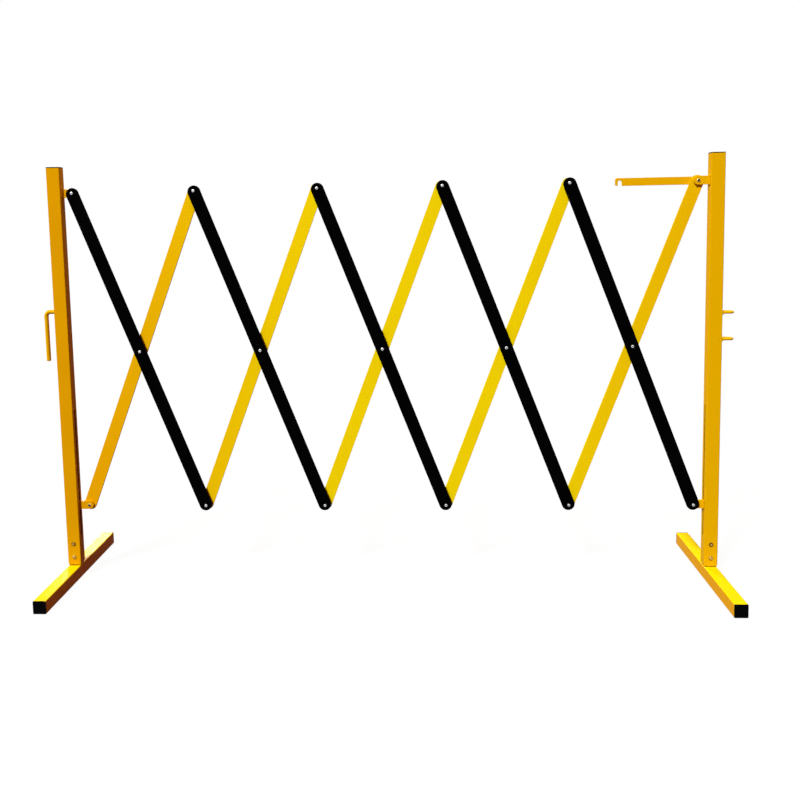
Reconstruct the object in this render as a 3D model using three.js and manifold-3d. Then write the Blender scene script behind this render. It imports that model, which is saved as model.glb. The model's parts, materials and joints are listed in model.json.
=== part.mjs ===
// An expanding barricade: two box-section posts, each standing on a square-tube foot, joined by a lattice of flat
// bars that folds like scissors. The black bars lie in the front layer and the yellow bars in the back layer.
// Frame: +Z up, floor at z = 0, X along the barricade, Y from front to back. The origin is on the floor, midway
// between the two posts. Lengths are millimetres and angles are radians.

import * as THREE from "three";
import { mergeVertices } from "three/addons/utils/BufferGeometryUtils.js";
import Module from "manifold-3d";

const wasm = await Module();
wasm.setup();

// Overall sizes, with the barricade part open.
const overallLength = 1624.5;
const overallHeight = 1000;

// Posts and feet.
const footLength = 400;
const tubeSide = 30;
const postWidth = 32;
const postDepth = 24;
const tubeWall = 1.5;
const tubeCorner = 2;
const postEndCorner = 7;
const capFlange = 2;
const capPlugDepth = 12;
const stubHeight = 68;
const stubWall = 2;
const lowerScrewRise = 22;
const upperScrewDrop = 13;

// Lattice.
const crossings = 5;
const barSpanShare = 0.812; // of the overall height, between a bar's end pivots
const topPivotDrop = 62;
const pivotToPost = 25;
const barWidth = 30;
const barThickness = 4;
const barEndInset = 2.7; // from an end pivot in to the centre of the bar's round end

// Brackets on the posts, and the slots that the lower ones slide in.
const bracketHeight = 20;
const bracketThickness = 5;
const slotAboveStub = 4;
const slotLength = 316;
const slotPlay = 0.5;
const sliderHeight = 40;
const tongueDepth = 12;

// Rivets, screws and the latch bolt: diameters and head heights.
const rivetShaft = 6;
const rivetHead = 8;
const rivetHeadHeight = 2.4;
const rivetTail = 8;
const rivetTailHeight = 1.5;
const spacerDiameter = 14;
const screwShaft = 5;
const screwHead = 10;
const screwHeadHeight = 3;
const screwLength = 12;
const nutAcross = 12;
const nutHeight = 4;
const boltEndLength = 1.5;

// Latch hook, which hangs on the right post's top pivot and drops over the stud at the left one.
const latchHeight = 18;
const latchThickness = 4;
const latchReach = 173.2;
const latchLip = 5.6;
const latchTipCorner = 4;
const latchSpacer = 3;
const studDiameter = 6.5;
const studPlay = 1.6;
const studPast = 2;

// Pin on the left post and eyes on the right post, which link barricades in a row.
const linkReach = 29;
const pinDiameter = 10;
const pinArmHeight = 657;
const pinDrop = 119;
const pinBend = 10;
const eyeWire = 6;
const eyeWidth = 11.5;
const eyeBelowArm = 21.5;
const eyeSpacing = 61.8;

// Fits: between touching faces, round a pivot, and round a slider in its tube.
const touchGap = 0.3;
const pivotPlay = 0.3;
const sliderPlay = 0.8;

// How finely round shapes are divided.
const cornerSteps = 3;
const endSteps = 7;
const turnSteps = 14;
const domeSteps = 3;
const wireSides = 10;
const eyeSteps = 20;
const pinSteps = 34;
const hexSides = 6;
const mergeDistance = 1e-4;

// Places that follow from the sizes above.
const pivotPitch = (overallLength - 2 * (linkReach + postWidth + pivotToPost)) / crossings;
const topPivotHeight = overallHeight - topPivotDrop;
const barSpan = barSpanShare * overallHeight;
const barTilt = Math.asin(pivotPitch / barSpan);
const bottomPivotHeight = topPivotHeight - barSpan * Math.cos(barTilt);
const middlePivotHeight = (topPivotHeight + bottomPivotHeight) / 2;
const postCentre = (crossings * pivotPitch) / 2 + pivotToPost + postWidth / 2;
const postSection = [postWidth, postDepth];
const footSection = [tubeSide, tubeSide];
const postBottom = tubeSide + touchGap;
const postTop = overallHeight - capFlange - touchGap;
const stubTop = tubeSide + stubHeight;
const screwHeights = { lower: tubeSide + lowerScrewRise, upper: stubTop - upperScrewDrop };
const slotBottom = stubTop + slotAboveStub;
const slotWidth = bracketThickness + 2 * slotPlay;
const upperEyeHeight = pinArmHeight - eyeBelowArm;
const eyeHeights = { upper: upperEyeHeight, lower: upperEyeHeight - eyeSpacing };

// Depths along Y, from the middle layer, which the brackets and spacers fill, out to the latch.
const layerFront = -bracketThickness / 2;
const layerBack = bracketThickness / 2;
const blackFront = layerFront - touchGap - barThickness;
const yellowFront = layerBack + touchGap;
const yellowBack = yellowFront + barThickness;
const latchFront = yellowBack + touchGap + latchSpacer + touchGap;
const latchBack = latchFront + latchThickness;

const finishes = {
  amberPaint: { color: 0xe3a400, roughness: 0.38, metalness: 0 },
  yellowPaint: { color: 0xf0bc08, roughness: 0.36, metalness: 0 },
  blackPaint: { color: 0x0d0d0e, roughness: 0.42, metalness: 0 },
  blackPlastic: { color: 0x111112, roughness: 0.6, metalness: 0 },
  zinc: { color: 0xb9bbbd, roughness: 0.35, metalness: 0.9 },
};

// The x of the lattice's pivots, counted from 0 at the left post to the number of crossings at the right one.
function pivotX(index) {
  return (index - crossings / 2) * pivotPitch;
}

function addPiece(group, name, geometry, finish, position = [0, 0, 0]) {
  const mesh = new THREE.Mesh(geometry, new THREE.MeshStandardMaterial(finish));
  mesh.name = name;
  mesh.position.set(...position);
  group.add(mesh);
  return mesh;
}

// Joins and cuts.
function toSolid(geometry) {
  const plain = geometry.clone();
  plain.deleteAttribute("normal");
  plain.deleteAttribute("uv");
  const merged = mergeVertices(plain, mergeDistance);
  return new wasm.Manifold(
    new wasm.Mesh({
      numProp: 3,
      vertProperties: merged.attributes.position.array,
      triVerts: new Uint32Array(merged.index.array),
    }),
  );
}

function toGeometry(solid) {
  const { vertProperties, triVerts } = solid.getMesh();
  return new THREE.BufferGeometry()
    .setAttribute("position", new THREE.BufferAttribute(vertProperties, 3))
    .setIndex(new THREE.BufferAttribute(triVerts, 1));
}

function cut(geometry, ...tools) {
  return toGeometry(tools.reduce((solid, tool) => solid.subtract(toSolid(tool)), toSolid(geometry)));
}

// Outlines.
function roundedBox([width, depth], radius) {
  const x = width / 2 - radius;
  const y = depth / 2 - radius;
  const outline = new THREE.Shape();
  outline.absarc(x, y, radius, 0, Math.PI / 2);
  outline.absarc(-x, y, radius, Math.PI / 2, Math.PI);
  outline.absarc(-x, -y, radius, Math.PI, 1.5 * Math.PI);
  outline.absarc(x, -y, radius, 1.5 * Math.PI, 2 * Math.PI);
  outline.closePath();
  return outline;
}

function regularOutline(radius, sides) {
  const corners = Array.from({ length: sides }, (_, i) => {
    const turn = (2 * Math.PI * i) / sides;
    return new THREE.Vector2(radius * Math.cos(turn), radius * Math.sin(turn));
  });
  return new THREE.Shape(corners);
}

function movedHole(radius, x, y) {
  const ring = regularOutline(radius, turnSteps).getPoints();
  return new THREE.Path(ring.map((point) => new THREE.Vector2(point.x + x, point.y + y)));
}

// A plate drawn in the X-Z plane: its front face lies at the given depth.
function plate(outline, front, thickness, steps = endSteps) {
  const geometry = new THREE.ExtrudeGeometry(outline, {
    depth: thickness,
    bevelEnabled: false,
    curveSegments: steps,
  });
  return geometry.rotateX(Math.PI / 2).translate(0, front + thickness, 0);
}

// A round piece about the Y axis from [radius, depth] pairs, front to back.
function turned(profile) {
  const points = profile.map(([radius, depth]) => new THREE.Vector2(radius, depth));
  return new THREE.LatheGeometry(points, turnSteps);
}

function block(sizeX, sizeY, sizeZ, x, y, z) {
  return new THREE.BoxGeometry(sizeX, sizeY, sizeZ).translate(x, y, z);
}

// The front half of a domed head, from its crown to its rim.
function domeFront(radius, height, rimDepth) {
  return Array.from({ length: domeSteps + 1 }, (_, i) => {
    const turn = (i / domeSteps) * (Math.PI / 2);
    return [radius * Math.sin(turn), rimDepth - height * Math.cos(turn)];
  });
}

function domeBack(radius, height, rimDepth) {
  return domeFront(radius, height, 0)
    .reverse()
    .map(([out, depth]) => [out, rimDepth - depth]);
}

// What is left inside a tube of this section once a margin is taken off all round.
function inside(section, margin) {
  return section.map((side) => side - 2 * margin);
}

// Box-section tube standing on z = 0.
function boxTube(section, wall, length, corner) {
  const outline = roundedBox(section, corner);
  outline.holes.push(roundedBox(inside(section, wall), corner - wall));
  return new THREE.ExtrudeGeometry(outline, {
    depth: length,
    bevelEnabled: false,
    curveSegments: cornerSteps,
  });
}

// A plug cap: its flange stands on z = 0 and its plug hangs below, inside the tube.
function tubeCap(section) {
  const options = { bevelEnabled: false, curveSegments: cornerSteps };
  const flange = new THREE.ExtrudeGeometry(roundedBox(section, tubeCorner), {
    ...options,
    depth: capFlange,
  });
  const plugOutline = roundedBox(inside(section, tubeWall + touchGap), tubeCorner - tubeWall);
  const plug = new THREE.ExtrudeGeometry(plugOutline, {
    ...options,
    depth: capPlugDepth + capFlange / 2,
  }).translate(0, 0, -capPlugDepth);
  return toGeometry(toSolid(flange).add(toSolid(plug)));
}

// Cutters for the holes of the foot screws, which run in from the front face.
function screwHoles(depth) {
  const radius = screwShaft / 2 + pivotPlay;
  return Object.values(screwHeights).map((height) =>
    new THREE.CylinderGeometry(radius, radius, depth, turnSteps).translate(0, -postDepth / 2, height),
  );
}

// The post tube, with the screw holes, the slot in its inner face and the rounded lower corners.
function postTube(inward) {
  const tube = boxTube(postSection, tubeWall, postTop - postBottom, tubeCorner).translate(0, 0, postBottom);
  const slot = block(tubeWall * 2, slotWidth, slotLength, inward * (postWidth / 2), 0, slotBottom + slotLength / 2);
  return toGeometry(toSolid(cut(tube, slot, ...screwHoles(4 * tubeWall))).intersect(toSolid(postSilhouette())));
}

function postSilhouette() {
  const half = postWidth / 2 + tubeWall;
  const flat = postWidth / 2 - postEndCorner;
  const outline = new THREE.Shape();
  outline.moveTo(-flat, postBottom);
  outline.lineTo(flat, postBottom);
  outline.absarc(flat, postBottom + postEndCorner, postEndCorner, -Math.PI / 2, 0);
  outline.lineTo(half, postBottom + 2 * postEndCorner);
  outline.lineTo(half, overallHeight);
  outline.lineTo(-half, overallHeight);
  outline.lineTo(-half, postBottom + 2 * postEndCorner);
  outline.absarc(-flat, postBottom + postEndCorner, postEndCorner, Math.PI, 1.5 * Math.PI);
  outline.closePath();
  return plate(outline, -postDepth, 2 * postDepth, cornerSteps);
}

// The short tube on the foot that the post slips over.
function footStub() {
  const section = inside(postSection, tubeWall + touchGap);
  const tube = boxTube(section, stubWall, stubTop - postBottom, stubWall + touchGap).translate(0, 0, postBottom);
  return cut(tube, ...screwHoles(4 * (tubeWall + stubWall)));
}

// A screw through the post's front wall into the stub, on the X-Z origin.
function footScrew() {
  const under = -postDepth / 2 - touchGap;
  const radius = screwShaft / 2;
  return turned([
    ...domeFront(screwHead / 2, screwHeadHeight, under),
    [radius, under],
    [radius, under + screwLength],
    [0, under + screwLength],
  ]);
}

// A bracket plate from a straight end to a round end about its pivot, on the X-Z origin.
function bracket(straightEnd, front, thickness) {
  const radius = bracketHeight / 2;
  const toEnd = Math.sign(straightEnd);
  const outline = new THREE.Shape();
  outline.moveTo(straightEnd, -toEnd * radius);
  outline.lineTo(straightEnd, toEnd * radius);
  outline.absarc(0, 0, radius, (toEnd * Math.PI) / 2, (toEnd * Math.PI) / 2 + Math.PI);
  outline.closePath();
  outline.holes.push(movedHole(rivetShaft / 2 + pivotPlay, 0, 0));
  return plate(outline, front, thickness);
}

// The lower bracket's slider, inside the post, with a pocket for the bracket's tongue.
function slider(inward) {
  const [width, depth] = inside(postSection, tubeWall + sliderPlay);
  const pocketDepth = tongueDepth + touchGap;
  const pocketX = inward * (width / 2 - pocketDepth / 2 + touchGap);
  const pocket = block(
    pocketDepth + 2 * touchGap,
    bracketThickness + 2 * touchGap,
    bracketHeight + 2 * touchGap,
    pocketX,
    0,
    0,
  );
  return cut(block(width, depth, sliderHeight, 0, 0, 0), pocket);
}

// A lattice bar, upright about its middle pivot, with its front face at the given depth.
function latticeBar(front) {
  const half = barSpan / 2;
  const radius = barWidth / 2;
  const endCentre = half - barEndInset;
  const outline = new THREE.Shape();
  outline.absarc(0, endCentre, radius, 0, Math.PI);
  outline.absarc(0, -endCentre, radius, Math.PI, 2 * Math.PI);
  outline.closePath();
  for (const height of [half, 0, -half]) {
    outline.holes.push(movedHole(rivetShaft / 2 + pivotPlay, 0, height));
  }
  return plate(outline, front, barThickness);
}

// A rivet through the front and back faces given, with a spacer between the bars where there is one.
function rivet(front, back, hasSpacer) {
  const head = front - touchGap;
  const tail = back + touchGap;
  const radius = rivetShaft / 2;
  const spacer = [
    [radius, layerFront],
    [spacerDiameter / 2, layerFront],
    [spacerDiameter / 2, layerBack],
    [radius, layerBack],
  ];
  return turned([
    ...domeFront(rivetHead / 2, rivetHeadHeight, head),
    [radius, head],
    ...(hasSpacer ? spacer : []),
    [radius, tail],
    ...domeBack(rivetTail / 2, rivetTailHeight, tail),
  ]);
}

// The stud at the left top pivot: a rivet head in front, and behind the bracket a thick end for the latch.
function latchStud() {
  const head = blackFront - touchGap;
  const shoulder = layerBack + touchGap;
  const end = latchBack + studPast;
  return turned([
    ...domeFront(rivetHead / 2, rivetHeadHeight, head),
    [rivetShaft / 2, head],
    [rivetShaft / 2, shoulder],
    [studDiameter / 2, shoulder],
    [studDiameter / 2, end],
    [0, end],
  ]);
}

// The bolt at the right top pivot, long enough for the bracket, bar, spacer, latch and nut.
function latchBolt() {
  const head = layerFront - touchGap;
  const end = latchBack + touchGap + nutHeight + boltEndLength;
  return turned([
    ...domeFront(rivetHead / 2, rivetHeadHeight, head),
    [rivetShaft / 2, head],
    [rivetShaft / 2, end],
    [0, end],
  ]);
}

function pierced(outline, front, thickness) {
  outline.holes.push(movedHole(rivetShaft / 2 + pivotPlay, 0, 0));
  return plate(outline, front, thickness);
}

// The latch hook on the X-Z origin, pointing to -X, with its notch open downwards.
function latchHook() {
  const half = latchHeight / 2;
  const notchRadius = studDiameter / 2 + studPlay;
  const notchTop = touchGap - studPlay;
  const tip = -(latchReach + notchRadius + latchLip);
  const outline = new THREE.Shape();
  outline.absarc(0, 0, half, -Math.PI / 2, Math.PI / 2);
  outline.absarc(tip + latchTipCorner, half - latchTipCorner, latchTipCorner, Math.PI / 2, Math.PI);
  outline.absarc(tip + latchTipCorner, -half + latchTipCorner, latchTipCorner, Math.PI, 1.25 * Math.PI);
  outline.lineTo(-latchReach - notchRadius, -half);
  outline.absarc(-latchReach, notchTop, notchRadius, Math.PI, 0, true);
  outline.lineTo(-latchReach + notchRadius, -half);
  outline.closePath();
  return pierced(outline, latchFront, latchThickness);
}

// A line, an arc or a run of them, as one path for a rod.
class Arc extends THREE.Curve {
  constructor(centre, radius, from, to) {
    super();
    Object.assign(this, { centre, radius, from, to });
  }

  // Both directions are unit vectors square to each other: the arc runs from the first to the second.
  getPoint(share, target = new THREE.Vector3()) {
    const turn = (share * Math.PI) / 2;
    return target
      .copy(this.centre)
      .addScaledVector(this.from, this.radius * Math.cos(turn))
      .addScaledVector(this.to, this.radius * Math.sin(turn));
  }
}

function rod(curves, diameter, steps) {
  const path = new THREE.CurvePath();
  curves.forEach((curve) => path.add(curve));
  return new THREE.ExtrudeGeometry(regularOutline(diameter / 2, wireSides), {
    steps,
    bevelEnabled: false,
    extrudePath: path,
  });
}

// The linking pin, from the left post's outer face out to -X and down.
function linkPin() {
  const face = -postWidth / 2 - touchGap;
  const legX = -postWidth / 2 - linkReach + pinDiameter / 2;
  const armEnd = new THREE.Vector3(legX + pinBend, 0, pinArmHeight);
  const legTop = new THREE.Vector3(legX, 0, pinArmHeight - pinBend);
  const legEnd = new THREE.Vector3(legX, 0, pinArmHeight - pinDrop);
  const centre = new THREE.Vector3(legX + pinBend, 0, pinArmHeight - pinBend);
  return rod(
    [
      new THREE.LineCurve3(new THREE.Vector3(face, 0, pinArmHeight), armEnd),
      new Arc(centre, pinBend, new THREE.Vector3(0, 0, 1), new THREE.Vector3(-1, 0, 0)),
      new THREE.LineCurve3(legTop, legEnd),
    ],
    pinDiameter,
    pinSteps,
  );
}

// A linking eye: wire bent to a U that lies level, out to +X from the right post's outer face.
function linkEye(height) {
  const face = postWidth / 2 + touchGap;
  const radius = (eyeWidth + eyeWire) / 2;
  const centre = new THREE.Vector3(postWidth / 2 + linkReach - eyeWire / 2 - radius, 0, height);
  const out = new THREE.Vector3(1, 0, 0);
  const nearSide = new THREE.Vector3(0, -1, 0);
  const farSide = new THREE.Vector3(0, 1, 0);
  const nearEnd = centre.clone().addScaledVector(nearSide, radius);
  const farEnd = centre.clone().addScaledVector(farSide, radius);
  return rod(
    [
      new THREE.LineCurve3(new THREE.Vector3(face, nearEnd.y, height), nearEnd),
      new Arc(centre, radius, nearSide, out),
      new Arc(centre, radius, out, farSide),
      new THREE.LineCurve3(farEnd, new THREE.Vector3(face, farEnd.y, height)),
    ],
    eyeWire,
    eyeSteps,
  );
}

// A foot tube on the floor along Y, with a cap in each end.
function addFoot(group, side) {
  const capFace = footLength / 2 - capFlange;
  const tubeLength = 2 * (capFace - touchGap);
  const tube = boxTube(footSection, tubeWall, tubeLength, tubeCorner)
    .translate(0, 0, -tubeLength / 2)
    .rotateX(-Math.PI / 2);
  const height = tubeSide / 2;
  addPiece(group, `foot_tube_${side}`, tube, finishes.yellowPaint, [0, 0, height]);
  for (const [end, turn] of [["front", Math.PI / 2], ["back", -Math.PI / 2]]) {
    const depth = -Math.sign(turn) * capFace;
    const name = `foot_cap_${side}_${end}`;
    addPiece(group, name, tubeCap(footSection), finishes.blackPlastic, [0, depth, height]).rotation.x = turn;
  }
}

// One post assembly: foot, stub, post, screws, cap and the fixed upper bracket. Inward is +1 or -1 along X.
function postAssembly(side, inward) {
  const group = new THREE.Group();
  group.position.x = -inward * postCentre;
  addFoot(group, side);
  addPiece(group, `foot_stub_${side}`, footStub(), finishes.amberPaint);
  addPiece(group, `post_tube_${side}`, postTube(inward), finishes.amberPaint);
  const capHeight = overallHeight - capFlange;
  addPiece(group, `post_cap_${side}`, tubeCap(postSection), finishes.blackPlastic, [0, 0, capHeight]);
  for (const [place, height] of Object.entries(screwHeights)) {
    addPiece(group, `foot_screw_${side}_${place}`, footScrew(), finishes.zinc, [0, 0, height]);
  }
  const straightEnd = -inward * (pivotToPost - touchGap);
  const pivot = [inward * (postWidth / 2 + pivotToPost), 0, topPivotHeight];
  const plateAtTop = bracket(straightEnd, layerFront, bracketThickness);
  addPiece(group, `top_bracket_${side}`, plateAtTop, finishes.amberPaint, pivot);
  return group;
}

// The lower bracket and its slider, at the height that the lattice's bottom pivot has.
function lowerBracket(side, inward) {
  const group = new THREE.Group();
  group.position.set(-inward * (postCentre - postWidth / 2 - pivotToPost), 0, bottomPivotHeight);
  const sliderInset = tubeWall + sliderPlay;
  const straightEnd = -inward * (pivotToPost + sliderInset + tongueDepth - touchGap);
  const plateInSlot = bracket(straightEnd, layerFront, bracketThickness);
  addPiece(group, `slide_bracket_${side}`, plateInSlot, finishes.amberPaint);
  const sliderX = -inward * (pivotToPost + postWidth / 2);
  addPiece(group, `slider_${side}`, slider(inward), finishes.blackPlastic, [sliderX, 0, 0]);
  return group;
}

// The ten bars and the rivets at their crossings.
function lattice() {
  const group = new THREE.Group();
  for (let i = 1; i <= crossings; i += 1) {
    const middle = [(pivotX(i - 1) + pivotX(i)) / 2, 0, middlePivotHeight];
    const black = latticeBar(blackFront);
    addPiece(group, `black_bar_${i}`, black, finishes.blackPaint, middle).rotation.y = -barTilt;
    const yellow = latticeBar(yellowFront);
    addPiece(group, `yellow_bar_${i}`, yellow, finishes.yellowPaint, middle).rotation.y = barTilt;
    const throughBoth = rivet(blackFront, yellowBack, true);
    addPiece(group, `rivet_middle_${i}`, throughBoth, finishes.zinc, middle);
  }
  for (let i = 1; i < crossings; i += 1) {
    for (const [row, height] of [["top", topPivotHeight], ["bottom", bottomPivotHeight]]) {
      const throughBoth = rivet(blackFront, yellowBack, true);
      addPiece(group, `rivet_${row}_${i}`, throughBoth, finishes.zinc, [pivotX(i), 0, height]);
    }
  }
  const leftEnd = [pivotX(0), 0, bottomPivotHeight];
  const rightEnd = [pivotX(crossings), 0, bottomPivotHeight];
  addPiece(group, "rivet_bottom_left", rivet(layerFront, yellowBack, false), finishes.zinc, leftEnd);
  addPiece(group, "rivet_bottom_right", rivet(blackFront, layerBack, false), finishes.zinc, rightEnd);
  return group;
}

// The latch: stud on the left, and hook, spacer, bolt and nut on the right.
function latch() {
  const group = new THREE.Group();
  const left = [pivotX(0), 0, topPivotHeight];
  const right = [pivotX(crossings), 0, topPivotHeight];
  const spacerFront = yellowBack + touchGap;
  const spacer = pierced(regularOutline(spacerDiameter / 2, turnSteps), spacerFront, latchSpacer);
  const nutRadius = nutAcross / 2 / Math.cos(Math.PI / hexSides);
  const nut = pierced(regularOutline(nutRadius, hexSides), latchBack + touchGap, nutHeight);
  addPiece(group, "latch_stud", latchStud(), finishes.zinc, left);
  addPiece(group, "latch_bolt", latchBolt(), finishes.zinc, right);
  addPiece(group, "latch_spacer", spacer, finishes.zinc, right);
  addPiece(group, "latch_hook", latchHook(), finishes.yellowPaint, right);
  addPiece(group, "latch_nut", nut, finishes.zinc, right);
  return group;
}

const leftPost = postAssembly("left", 1);
addPiece(leftPost, "link_pin", linkPin(), finishes.amberPaint);

const rightPost = postAssembly("right", -1);
for (const [place, height] of Object.entries(eyeHeights)) {
  addPiece(rightPost, `link_eye_${place}`, linkEye(height), finishes.amberPaint);
}

const barricade = new THREE.Group();
barricade.add(leftPost, rightPost);
barricade.add(lowerBracket("left", 1), lowerBracket("right", -1));
barricade.add(lattice(), latch());

export default barricade;
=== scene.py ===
# An expanding barricade: two box-section posts on feet, joined by a folding lattice of flat bars.
# Lengths are metres. X runs along the barricade, Y from front to back and Z up, with the floor at zero.

import json
import math
from typing import NamedTuple

import bmesh
import bpy
from mathutils import Matrix, Vector

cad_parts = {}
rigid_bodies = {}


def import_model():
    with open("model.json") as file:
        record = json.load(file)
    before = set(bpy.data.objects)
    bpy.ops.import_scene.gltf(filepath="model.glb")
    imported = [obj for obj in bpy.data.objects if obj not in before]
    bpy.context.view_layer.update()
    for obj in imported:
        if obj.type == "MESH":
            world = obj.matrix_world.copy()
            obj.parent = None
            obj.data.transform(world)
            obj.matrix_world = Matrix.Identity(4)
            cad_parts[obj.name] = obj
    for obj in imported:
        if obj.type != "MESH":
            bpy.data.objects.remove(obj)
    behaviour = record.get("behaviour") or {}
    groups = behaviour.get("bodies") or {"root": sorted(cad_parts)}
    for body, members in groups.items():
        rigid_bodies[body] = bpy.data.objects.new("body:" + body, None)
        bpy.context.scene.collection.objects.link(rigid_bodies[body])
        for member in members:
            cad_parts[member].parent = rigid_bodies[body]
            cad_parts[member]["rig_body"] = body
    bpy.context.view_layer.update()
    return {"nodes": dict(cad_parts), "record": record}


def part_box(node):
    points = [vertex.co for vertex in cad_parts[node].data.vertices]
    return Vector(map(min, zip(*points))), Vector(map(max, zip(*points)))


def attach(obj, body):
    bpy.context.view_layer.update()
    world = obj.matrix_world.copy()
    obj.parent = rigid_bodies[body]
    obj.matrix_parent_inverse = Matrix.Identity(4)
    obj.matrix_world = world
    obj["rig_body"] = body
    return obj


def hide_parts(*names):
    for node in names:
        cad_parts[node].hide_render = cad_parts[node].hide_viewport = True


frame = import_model()

MM = 0.001
CROSSINGS = 5

# Which way along X the lattice lies from each post.
INWARD = {"left": 1, "right": -1}

# Turns in degrees, and the side of the square matrix that makes one.
EIGHTH_TURN = 45
QUARTER_TURN = 90
HALF_TURN = 180
THREE_QUARTER_TURN = 270
WHOLE_TURN = 360
MATRIX_SIDE = 4

# The signs of a rectangle's corners, anticlockwise from the one where both are positive.
CORNER_SIGNS = ((1, 1), (-1, 1), (-1, -1), (1, -1))

# The axes that the flat faces look along: across a tube, or through a plate.
TUBE_FLAT_AXES = (0, 1)
PLATE_FLAT_AXES = (1,)

# Tubes and their caps.
TUBE_WALL = 1.5 * MM
TUBE_CORNER = 2 * MM
TUBE_END_EDGE = 0.3 * MM
POST_END_CORNER = 7 * MM
# Height of the painted contact shadow, with some grime, at the foot of each post.
SHADE_AND_GRIME_HEIGHT = 4 * MM
SLOT_PLAY = 0.5 * MM
SLOT_END = 2 * MM
SLOT_BOTTOM = 102 * MM
SLOT_TOP = 418 * MM
SCREW_HOLE = 5.6 * MM
SCREW_HOLE_DEPTH_SHARE = 0.25
SLOT_CUT = 2 * TUBE_WALL
CUTTER_EDGE = 0.03 * MM
CAP_FLANGE = 2 * MM
CAP_EDGE = 0.7 * MM
CAP_DISH = 0.25 * MM
CAP_PLUG_DEPTH = 12 * MM
CAP_PLUG_GAP = 0.3 * MM
CAP_RIM = 4 * MM
CAP_GATE = 3.2 * MM

# Flat pieces.
BAR_WIDTH = 30 * MM
BAR_END_INSET = 2.7 * MM
BRACKET_HEIGHT = 20 * MM
PLATE_EDGE = 0.45 * MM
HOLE_RADIUS = 3.3 * MM
LATCH_HEIGHT = 18 * MM
LATCH_LIP = 5.6 * MM
LATCH_TIP_CORNER = 4 * MM
NOTCH_RADIUS = 4.85 * MM
NOTCH_RISE = -1.3 * MM

# Rivets, screws, bolt and nut.
SHAFT = 3 * MM
HEAD_RADIUS = 4 * MM
HEAD_HEIGHT = 2.4 * MM
HEAD_RIM = 0.5 * MM
# Width of the painted dark reflection round a head's rim.
HEAD_RIM_REFLECTION_WIDTH = 0.95 * MM
HOLLOW_RADIUS = 1.15 * MM
SOCKET_RADIUS = 2.6 * MM
HOLLOW_DEPTH = 1.6 * MM
HOLLOW_LIP = 0.3 * MM
TAIL_RADIUS = 4 * MM
TAIL_HEIGHT = 1.5 * MM
TAIL_RIM = 0.4 * MM
SPACER_RADIUS = 7 * MM
SPACER_EDGE = 0.3 * MM
STUD_RADIUS = 3.25 * MM
STUD_CHAMFER = 0.8 * MM
SCREW_RADIUS = 5 * MM
SCREW_SHAFT = 2.5 * MM
# Radius of a screw head's middle, left free of its tarnish and painted shade.
SCREW_BRIGHT_RADIUS = 2.5 * MM
SCREW_TURNS = {"lower": 20, "upper": -35}
RECESS_LENGTH = 5.8 * MM
RECESS_WIDTH = 1.6 * MM
RECESS_DEPTH = 2.0 * MM
RECESS_TAPER_SHARE = 0.2
THREAD_PITCH = 1.0 * MM
THREAD_DEPTH = 0.3 * MM
THREAD_CREST_SHARE = 0.3
THREAD_ROOT_SHARE = 0.8
NUT_SIDES = 6
NUT_ACROSS = 12 * MM
NUT_EDGE = 0.15 * MM
NUT_CHAMFER = 1.0 * MM
SURFACE_GAP = 0.3 * MM

# Link pin, link eyes and the weld beads.
PIN_RADIUS = 5 * MM
PIN_BEND = 10 * MM
PIN_ARM_HEIGHT = 657 * MM
PIN_TIP_CHAMFER = 1.2 * MM
EYE_RADIUS = 3 * MM
BEAD_RADIUS = 1.5 * MM
BEAD_RIPPLE_SHARE = 0.14
BEAD_PITCH = 1.7 * MM
BEAD_SINK_SHARE = 0.45
BEAD_SIDES = 10
BEAD_STEP = 0.28 * MM

# How finely round shapes are divided.
CORNER_STEPS = 6
ARC_STEPS = 24
TURN_STEPS = 40
ROD_SIDES = 28
EDGE_STEPS = 2
DOME_STEPS = 8
WELD_DISTANCE = 1e-6
SHARP_ANGLE = math.radians(38)


def centre_of(node):
    low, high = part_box(node)
    return (low + high) / 2


def size_of(node):
    low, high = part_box(node)
    return high - low


def turn_about(axis, degrees):
    """A turn about an axis through the origin."""
    return Matrix.Rotation(math.radians(degrees), MATRIX_SIDE, axis)


# Meshes.
def finished(work):
    """The mesh of a bmesh with its doubles merged and its faces pointing out."""
    bmesh.ops.remove_doubles(work, verts=work.verts, dist=WELD_DISTANCE)
    bmesh.ops.recalc_face_normals(work, faces=work.faces)
    mesh = bpy.data.meshes.new("shape")
    work.to_mesh(mesh)
    work.free()
    return mesh


def loft(rings, closed=False):
    """A skin over rings of points, joined end to end if closed and otherwise filled at both ends."""
    work = bmesh.new()
    rows = [[work.verts.new(point) for point in ring] for ring in rings]
    follow = rows[1:] + rows[:1] if closed else rows[1:]
    for near, far in zip(rows, follow):
        for i, start in enumerate(near):
            j = (i + 1) % len(near)
            work.faces.new((start, near[j], far[j], far[i]))
    if not closed:
        work.faces.new(rows[0])
        work.faces.new(rows[-1])
    return finished(work)


def turned(profile, steps=TURN_STEPS):
    """A round body about the Y axis from (radius, depth) pairs that start and end on the axis."""
    work = bmesh.new()
    line = [work.verts.new((radius, depth, 0)) for radius, depth in profile]
    edges = [work.edges.new(pair) for pair in zip(line, line[1:])]
    bmesh.ops.spin(work, geom=line + edges, axis=(0, 1, 0), cent=(0, 0, 0), angle=math.tau, steps=steps)
    return finished(work)


def arc(centre, radius, start, end, steps=ARC_STEPS):
    """Points of a flat arc with both its ends. Angles are degrees."""
    turns = [math.radians(start + (end - start) * i / steps) for i in range(steps + 1)]
    return [(centre[0] + radius * math.cos(turn), centre[1] + radius * math.sin(turn)) for turn in turns]


def circle(centre, radius, steps=2 * ARC_STEPS):
    return arc(centre, radius, 0, WHOLE_TURN, steps)[:-1]


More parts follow.
